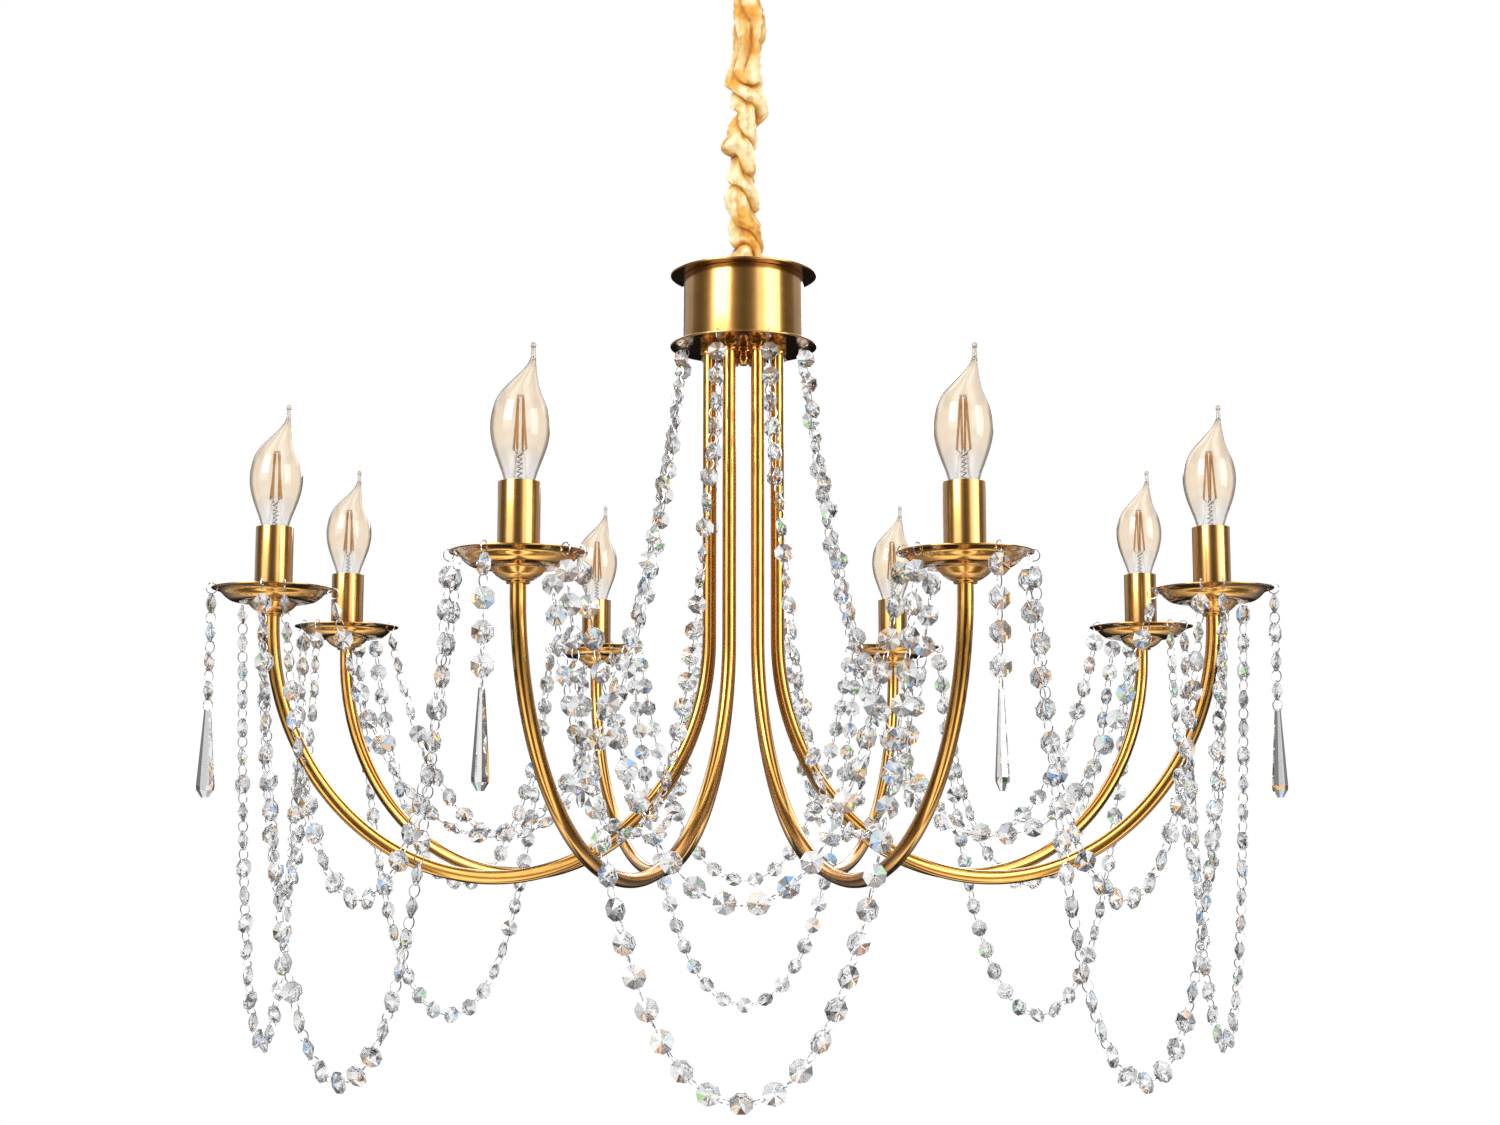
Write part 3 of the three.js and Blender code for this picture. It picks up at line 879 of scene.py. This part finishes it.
def bulb_inside():
    """The glass stem, the wires and the four filament rods, about the cover's top."""
    outline = [(0, 0), (5.0, 0), (5.0, 4), (3.9, 10), (3.6, 15), (2.6, 18), (0, 19)]
    stem = lathe(in_mm(outline), 24, closed=False)
    wires = []
    rods = []
    for quarter in range(4):
        angle = math.radians(45 + 90 * quarter)
        foot = polar(2.0, angle, 17.0) * MM
        low = polar(4.2, angle + 0.5, 20.0) * MM
        high = polar(2.2, angle, 52.0) * MM
        rods.append(tube([low, (low + high) / 2, high], 0.75 * MM, 12))
        knee = (foot + low) / 2 + Vector((0, 0, 0.6 * MM))
        wires.append(tube([foot, knee, low], 0.35 * MM, 6))
        wires.append(tube([high, high + Vector((0, 0, 1.6 * MM))], 0.25 * MM, 6))
    bridge = [polar(2.2, 2 * math.pi * s / 16, 53.4) * MM for s in range(16)]
    wires.append(tube(bridge, 0.3 * MM, 6, closed=True))
    lead = []
    for t in range(17):
        lead.append(Vector((1.2 * math.sin(t * 2.1), 1.2 * math.cos(t * 2.6), 1.0 + t)) * MM)
    wires.append(tube(lead, 0.4 * MM, 6))
    return stem, merged(wires), merged(rods)


def screw_cap():
    """The threaded metal cap inside the candle cover."""
    outline = [(0, -27.0), (2.4, -27.0), (3.2, -25.6), (5.6, -24.6)]
    for turn in range(6):
        z = -23.5 + turn * 2.82
        outline += [(6.9, z), (6.3, z + 1.41)]
    outline += [(6.9, -6.0), (7.0, -3.4), (0, -3.4)]
    return lathe(in_mm(outline), 36, closed=False)


def bulb(i, shell, inside, cap):
    at = Matrix.Translation(pan_matrix(i, COVER_TOP).to_translation())
    stem, wires, rods = inside
    for name, part, material, slot, nodes, sharp in (
        ("bulb_glass", shell, AMBER, "amber_glass", [f"bulb_{i + 1}"], 60),
        ("bulb_stem", stem, CLEAR, "amber_glass", [], SHARP_FROM),
        ("bulb_wires", wires, STEEL, "plated_steel", [], SHARP_FROM),
        ("bulb_filaments", rods, FILAMENT, "amber_glass", [], SHARP_FROM),
        ("bulb_cap", cap, STEEL, "plated_steel", [], SHARP_FROM),
    ):
        piece = mesh_object(f"{name}_{i + 1}", moved(part, at), material, sharp)
        place(piece, f"lamp_{i + 1}", slot, *nodes)


# ---- hub ----
def hub():
    """The two plates, the drum between them and the finial underneath."""
    for name, top, under in (
        ("top_plate", TOP_PLATE, TOP_PLATE_UNDER),
        ("bottom_plate", BOTTOM_PLATE, BOTTOM_PLATE_UNDER),
    ):
        outline = [
            (CABLE_HOLE, under), (PLATE_RADIUS, under), (PLATE_RADIUS, top), (CABLE_HOLE, top),
        ]
        made = lathe(filleted(outline, 0.7 * MM), HUB_SEGMENTS)
        brass_piece(f"{name}_fine", made, BRUSHED, name)
    gap = 0.3 * MM
    low = BOTTOM_PLATE + gap
    high = TOP_PLATE_UNDER - gap
    inner = DRUM_RADIUS - 1.2 * MM
    outline = [(inner, low), (DRUM_RADIUS, low), (DRUM_RADIUS, high), (inner, high)]
    made = lathe(filleted(outline, 0.5 * MM), HUB_SEGMENTS)
    brass_piece("drum_fine", made, BRUSHED, "drum_shell")
    knob = [
        (0, -13.6), (2.6, -13.2), (4.8, -11.4), (5.7, -8.8), (5.5, -6.4), (4.6, -4.6), (4.4, -3.8),
        (7.3, -3.2), (7.5, -1.6), (7.2, 0.0), (0, 0.0),
    ]
    made = lathe(in_mm(knob, BOTTOM_PLATE_UNDER - gap), 48, closed=False)
    brass_piece("finial_fine", made, SATIN, "finial")


# ---- sleeve ----
# Height, sideways drift and half width of the sleeve, in millimetres, from the top down.
SLEEVE_STATIONS = [
    (-41, 2.0, 10.5), (-55, 4.0, 12.0), (-69, 4.5, 13.6), (-88, 3.0, 11.3), (-113, 0.4, 14.0),
    (-137, 5.0, 12.0), (-154, -0.4, 9.6), (-166, -3.6, 12.8), (-185, -1.5, 8.8),
    (-204, -1.9, 11.9), (-233, 0.8, 10.8), (-250, 2.6, 12.6), (-261, 1.5, 15.4),
    (-268.6, 1.2, 17.0),
]

# The least half depth of the sleeve, in millimetres, over the cable behind and the chain in front.
CABLE_SIDE = 11.4
CHAIN_SIDE = 8.6


def station(height):
    """Drift and half width at a height, by a smooth curve between the stations."""
    for (z0, d0, r0), (z1, d1, r1) in zip(SLEEVE_STATIONS, SLEEVE_STATIONS[1:]):
        if height >= z1:
            t = eased(height, z0, z1)
            return d0 + (d1 - d0) * t, r0 + (r1 - r0) * t
    return SLEEVE_STATIONS[-1][1:]


def fold(phase):
    """A rounded ridge with a pinched valley, from -1 to 1."""
    return 2 * abs(math.sin(phase / 2)) ** 0.8 - 1


def sleeve_point(angle, z):
    """A point of the cloth, in millimetres, and how far it stands out of the folds."""
    drift, half = station(z)
    across, deep = math.cos(angle), math.sin(angle)
    # The cloth is twisted from 100 mm down, and half loose again just over the drum.
    twisted = eased(z, -100, -124) * (1 - 0.45 * eased(z, -222, -262))
    warp = noise.noise(Vector((3 + 0.6 * across, 1 + 0.6 * deep, z / 26)))
    # Two deep folds wind round the sleeve, and five shallow pleats run along it.
    twist = fold(2 * angle + z / 3.9 + 4.0 * warp) * 3.4 * twisted
    pleat = fold(5 * angle + z / 14 + 4 * warp) * (1.7 - 0.9 * twisted)
    crease = noise.noise(Vector((across * 2.4, deep * 2.4, z / 4))) * 1.2
    reach = half + twist + pleat + crease - 1.6
    room = CABLE_SIDE if deep > 0 else CHAIN_SIDE
    x = reach * across + drift
    y = max(reach, room + 0.3 * (twist + pleat + 4)) * deep
    # The wound folds sag over each other, but not at the sleeve's two ends.
    sag = 1.6 * eased(z, -45, -100) * (1 - eased(z, -255, -268)) * twist / 3
    # The silk paints shade into the folds' valleys from this value.
    ridge = 0.5 + (twist + pleat + 0.6 * crease) / 7
    return Vector((x, y, z - sag)), ridge


def sleeve():
    around, rows = 180, 400
    top, bottom = SLEEVE_TOP / MM, SLEEVE_BOTTOM / MM + 0.2
    verts = []
    ridges = []
    for row in range(rows + 1):
        height = top + (bottom - top) * row / rows
        for j in range(around):
            point, ridge = sleeve_point(2 * math.pi * j / around, height)
            verts.append(point * MM)
            ridges.append(ridge)
    faces = []
    for low in range(0, rows * around, around):
        faces += band(low + around, low, around)
    piece = mesh_object("silk_sleeve", (verts, faces), SILK, sharp=180)
    attribute = piece.data.attributes.new("ridge", "FLOAT", "POINT")
    attribute.data.foreach_set("value", ridges)
    wall = piece.modifiers.new("thickness", "SOLIDIFY")
    wall.thickness = 0.35 * MM
    wall.offset = -1
    place(piece, "fixture", "silk", "fabric_sleeve")


# ---- chain and ceiling fitting ----
def oval_path(radius, top, bottom, turn, steps=12):
    """An upright oval: a half circle round top, and another round bottom."""
    points = []
    for start, height in ((0, top), (math.pi, bottom)):
        for s in range(steps + 1):
            angle = start + math.pi * s / steps
            points.append(Vector((radius * math.cos(angle), 0, height + radius * math.sin(angle))))
    return [Matrix.Rotation(turn, 3, "Z") @ p for p in points]


def chain():
    links, radius, wire, bite = 9, 4.6 * MM, 1.2 * MM, 0.4 * MM
    first = -45 * MM
    last = -246 * MM
    step = 2 * radius - 2 * wire + bite
    side = (first - last - (links - 1) * step) / links
    parts = []
    for i in range(links):
        top = first - i * (side + step)
        turn = math.pi / 2 if i % 2 == 0 else 0
        parts.append(tube(oval_path(radius, top, top - side, turn), wire, 12, closed=True))
    brass_piece("chain_fine", merged(parts), SATIN, "suspension_chain")


def ceiling_fitting():
    """The canopy's dished shell, and the stem and ring under it that the chain hangs from."""
    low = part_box("ceiling_canopy")[0].z
    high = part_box("ceiling_canopy")[1].z
    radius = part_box("ceiling_canopy")[1].x
    outer = []
    inner = []
    for s in range(25):
        angle = math.pi / 2 * s / 24
        r = CABLE_HOLE + (radius - CABLE_HOLE) * math.sin(angle) ** 0.8
        z = high - (high - low) * math.cos(angle) ** 1.1
        outer.append((r, z))
        inner.append((max(r - SHEET, CABLE_HOLE), min(z + SHEET, high)))
    canopy = mesh_object("canopy_fine", lathe(outer + inner[::-1], 96), BRUSHED)
    place(canopy, "ceiling_fitting", "antique_brass", "ceiling_canopy")
    outline = in_mm([(0, -31), (4, -31), (4, -7), (0, -7)])
    stem = lathe(filleted(outline, 0.5 * MM), 32, closed=False)
    ring = tube(oval_path(7 * MM, -38 * MM, -38 * MM, 0, 16), 2 * MM, 14, closed=True)
    loop = mesh_object("canopy_loop_fine", merged([stem, ring]), SATIN)
    place(loop, "loop", "antique_brass", "canopy_loop")


def dress_kept_nodes():
    """Gives the CAD nodes that stay in view their materials."""
    for name, material in (
        ("mounting_bracket", STEEL), ("centre_stem", STEEL), ("supply_cable", CABLE_SKIN),
    ):
        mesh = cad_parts[name].data
        mesh.materials.clear()
        mesh.materials.append(material)


# ---- floor, light and camera ----
def floor():
    verts = ring_points(FLOOR_RADIUS, cad_box[0][2] - FLOOR_DROP, 96)
    pale = matte("pale_floor", (0.86, 0.86, 0.86), (0.9, 0.9, 0.9), scale=3.0, roughness=0.8)
    made = mesh_object("floor", (verts, [list(range(96))]), pale, sharp=None)
    made.visible_glossy = False


def soft_light(name, position, size, power):
    """A rectangular light that faces the chandelier, and isn't seen through its glass."""
    light = bpy.data.lights.new(name, "AREA")
    light.shape = "RECTANGLE"
    light.size, light.size_y = size
    light.energy = power
    made = bpy.data.objects.new(name, light)
    made.location = position
    aim = LIGHT_TARGET - Vector(position)
    made.rotation_euler = aim.to_track_quat("-Z", "Y").to_euler()
    made.visible_transmission = False
    bpy.context.collection.objects.link(made)


def background(tree, color):
    made = add_node(tree, "ShaderNodeBackground")
    feed(tree, made.inputs["Color"], color)
    return made.outputs[0]


def studio_world():
    """White to the eye, with bright and dark panels for polished surfaces and glass to show."""
    world = bpy.data.worlds.new("studio")
    bpy.context.scene.world = world
    world.use_nodes = True
    tree = world.node_tree
    tree.nodes.clear()
    x, y, z = coordinates(tree, "Generated")

    # Reflections: four bright panels stand round the object, diagonal to the camera.
    angle = math_node(tree, "ARCTAN2", x, y)
    wave = math_node(tree, "COSINE", math_node(tree, "MULTIPLY", angle, 4.0))
    upright = ramp(tree, map_range(tree, wave, 1.0, -1.0), (0.0, (0.14, 0.13, 0.12)),
                   (0.35, (0.3, 0.29, 0.27)), (0.55, 0.8), (0.72, 1.9), (1.0, 2.3))
    # They are dark just below the horizon, and dim behind the object except high up.
    shade = ramp(tree, map_range(tree, z, -1.0, 1.0), (0.0, 1.2), (0.2, 1), (0.3, 0.45),
                 (0.46, 0.14), (0.53, 1), (1.0, 1))
    behind = map_range(tree, y, 0.15, 0.5, 1.0, 0.2)
    above = map_range(tree, z, 0.28, 0.42)
    lit = math_node(tree, "MAXIMUM", behind, above)
    panels = multiplied(tree, multiplied(tree, upright, shade), lit)

    # Through glass: white, with one dark band above the horizon that gives the crystal contrast.
    bands = ramp(tree, z, (0.0, 1), (0.45, 1), (0.52, (0.07, 0.07, 0.08)),
                 (0.66, (0.1, 0.1, 0.11)), (0.74, 1.3), (1.0, 1.5))

    # Rays refracted by glass also count as glossy, so their mix comes after the glossy one.
    path = add_node(tree, "ShaderNodeLightPath")
    surface = background(tree, rgba(0.8))
    for seen_by, color in (
        ("Is Glossy Ray", panels), ("Is Transmission Ray", bands), ("Is Camera Ray", rgba(1)),
    ):
        mix = add_node(tree, "ShaderNodeMixShader")
        tree.links.new(path.outputs[seen_by], mix.inputs["Fac"])
        tree.links.new(surface, mix.inputs[1])
        tree.links.new(background(tree, color), mix.inputs[2])
        surface = mix.outputs[0]
    output = add_node(tree, "ShaderNodeOutputWorld")
    tree.links.new(surface, output.inputs["Surface"])


def camera():
    lens = bpy.data.cameras.new("camera")
    lens.lens = CAMERA_LENS
    lens.clip_start = 0.05
    made = bpy.data.objects.new("camera", lens)
    made.location = (CAMERA_SIDE, -CAMERA_DISTANCE, CAMERA_HEIGHT)
    made.rotation_euler = (math.pi / 2 + CAMERA_PITCH, 0, 0)
    bpy.context.collection.objects.link(made)
    bpy.context.scene.camera = made


def build():
    camera()
    studio_world()
    soft_light("key", position=(-1.8, -2.0, 0.9), size=(1.6, 1.6), power=45)
    soft_light("fill", position=(2.2, -1.4, 0.1), size=(1.4, 1.8), power=25)
    soft_light("rim", position=(0.4, 2.2, 0.6), size=(1.8, 1.2), power=25)
    floor()
    dress_kept_nodes()
    ceiling_fitting()
    chain()
    sleeve()
    hub()
    hub_strands()
    pan = pan_mesh()
    shell, inside, cap = glass_shell(), bulb_inside(), screw_cap()
    for i in range(ARM_COUNT):
        arm(i)
        candle(i, pan)
        bulb(i, shell, inside, cap)
        swags(i)
        pendant(i)


build()
bpy.context.scene.view_settings.view_transform = "Standard"
bpy.context.view_layer.update()
